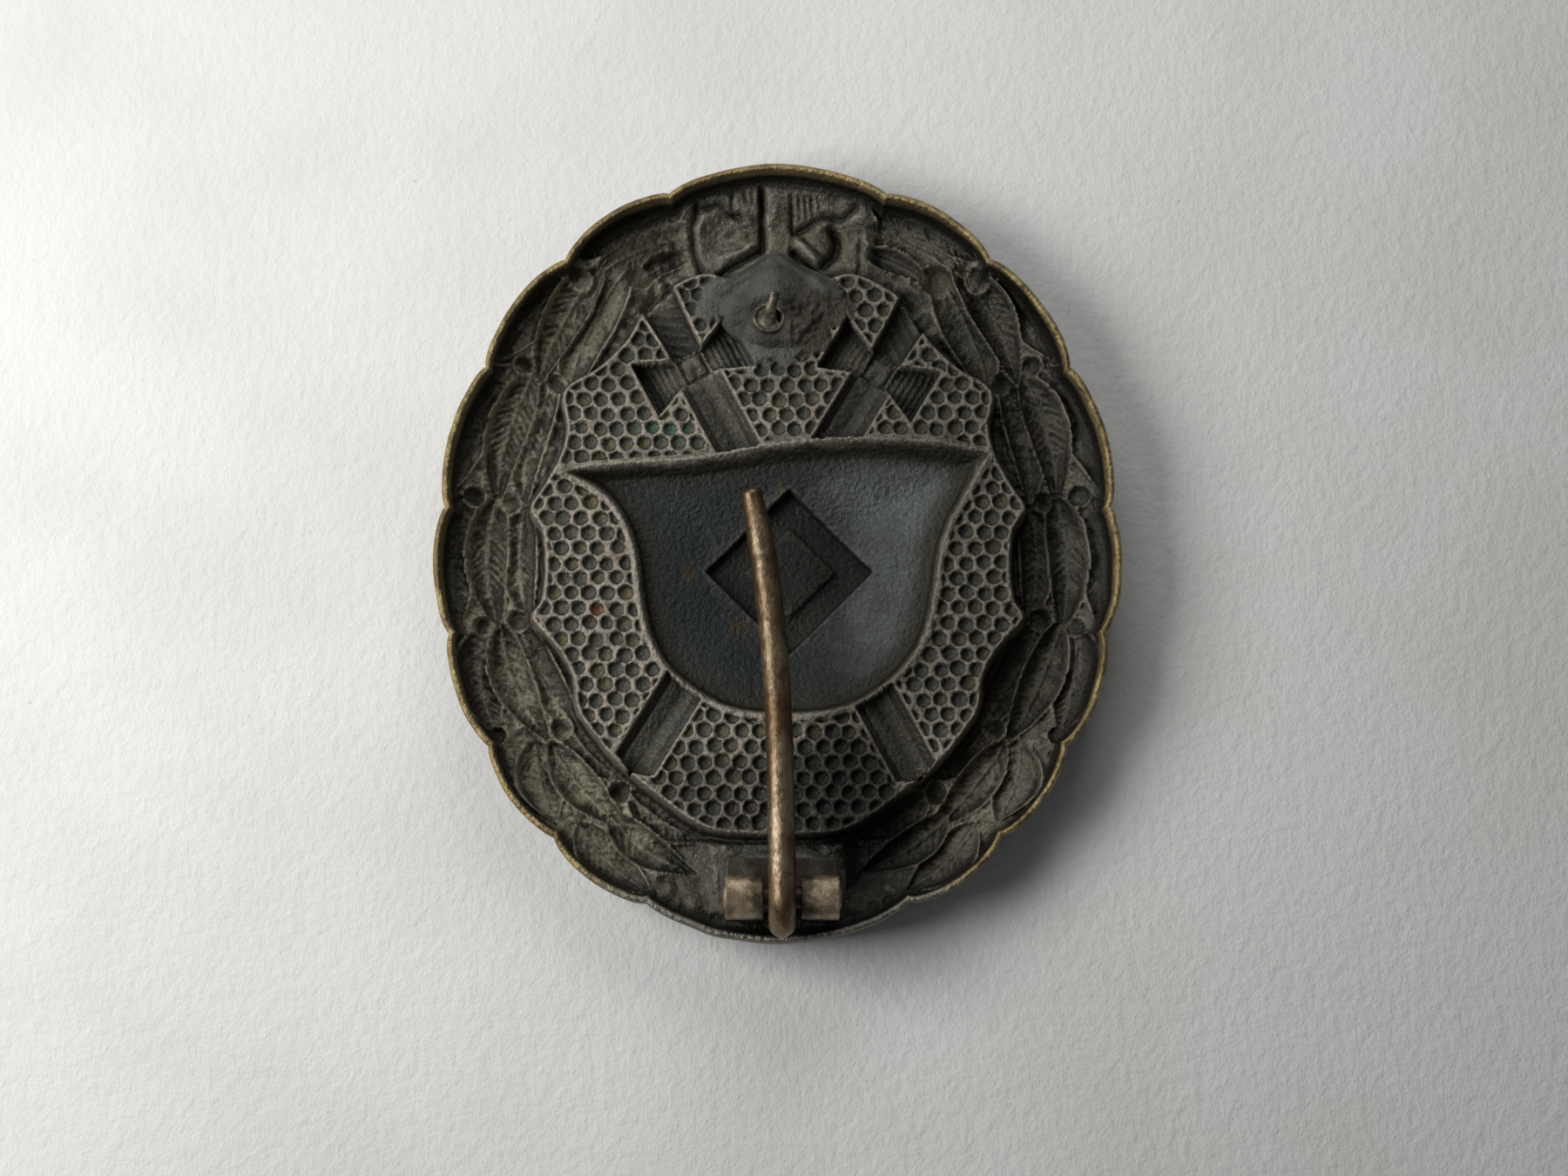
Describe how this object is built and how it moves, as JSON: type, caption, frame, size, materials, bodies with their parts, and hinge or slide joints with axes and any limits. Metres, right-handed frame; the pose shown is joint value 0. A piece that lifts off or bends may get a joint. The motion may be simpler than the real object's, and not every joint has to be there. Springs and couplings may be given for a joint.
{
  "type": "pin-back oval wreath badge",
  "caption": "Oval hollow-struck wreath badge with scalloped rim, crossed swords and helmet, box hinge and swinging needle on the back.",
  "frame": {"origin": "under the middle of the badge's bounding box, on the plane that its front rests on", "axes": "+Y along the badge's length from the needle hinge to the ribbon bow, +Z out of the hollow back, +X across it; the needle hinge turns about +X"},
  "size_m": [0.0384, 0.044, 0.0075],
  "materials": {
    "struck_sheet": "dark, dull patina over worn brass-coloured edges",
    "solder": "grey, smooth, partly tarnished",
    "hinge_metal": "worn, brownish plated sheet",
    "needle_wire": "worn wire with brown stains and dark pits",
    "broken_metal": "broken, pale coppery face"
  },
  "bodies": {
    "badge_body": {"badge_shell": "struck_sheet", "hinge_solder": "solder", "hinge_bracket": "hinge_metal", "hinge_axle": "hinge_metal", "catch_solder": "solder", "catch_plate": "hinge_metal", "catch_stub": "broken_metal"},
    "needle": {"needle_pin": "needle_wire"}
  },
  "joints": [
    {"name": "needle_hinge", "type": "hinge", "parent": "badge_body", "child": "needle", "pos_m": [0.00025, -0.0196, 0.0054], "axis": [1, 0, 0], "range_deg": [0, 110]}
  ]
}
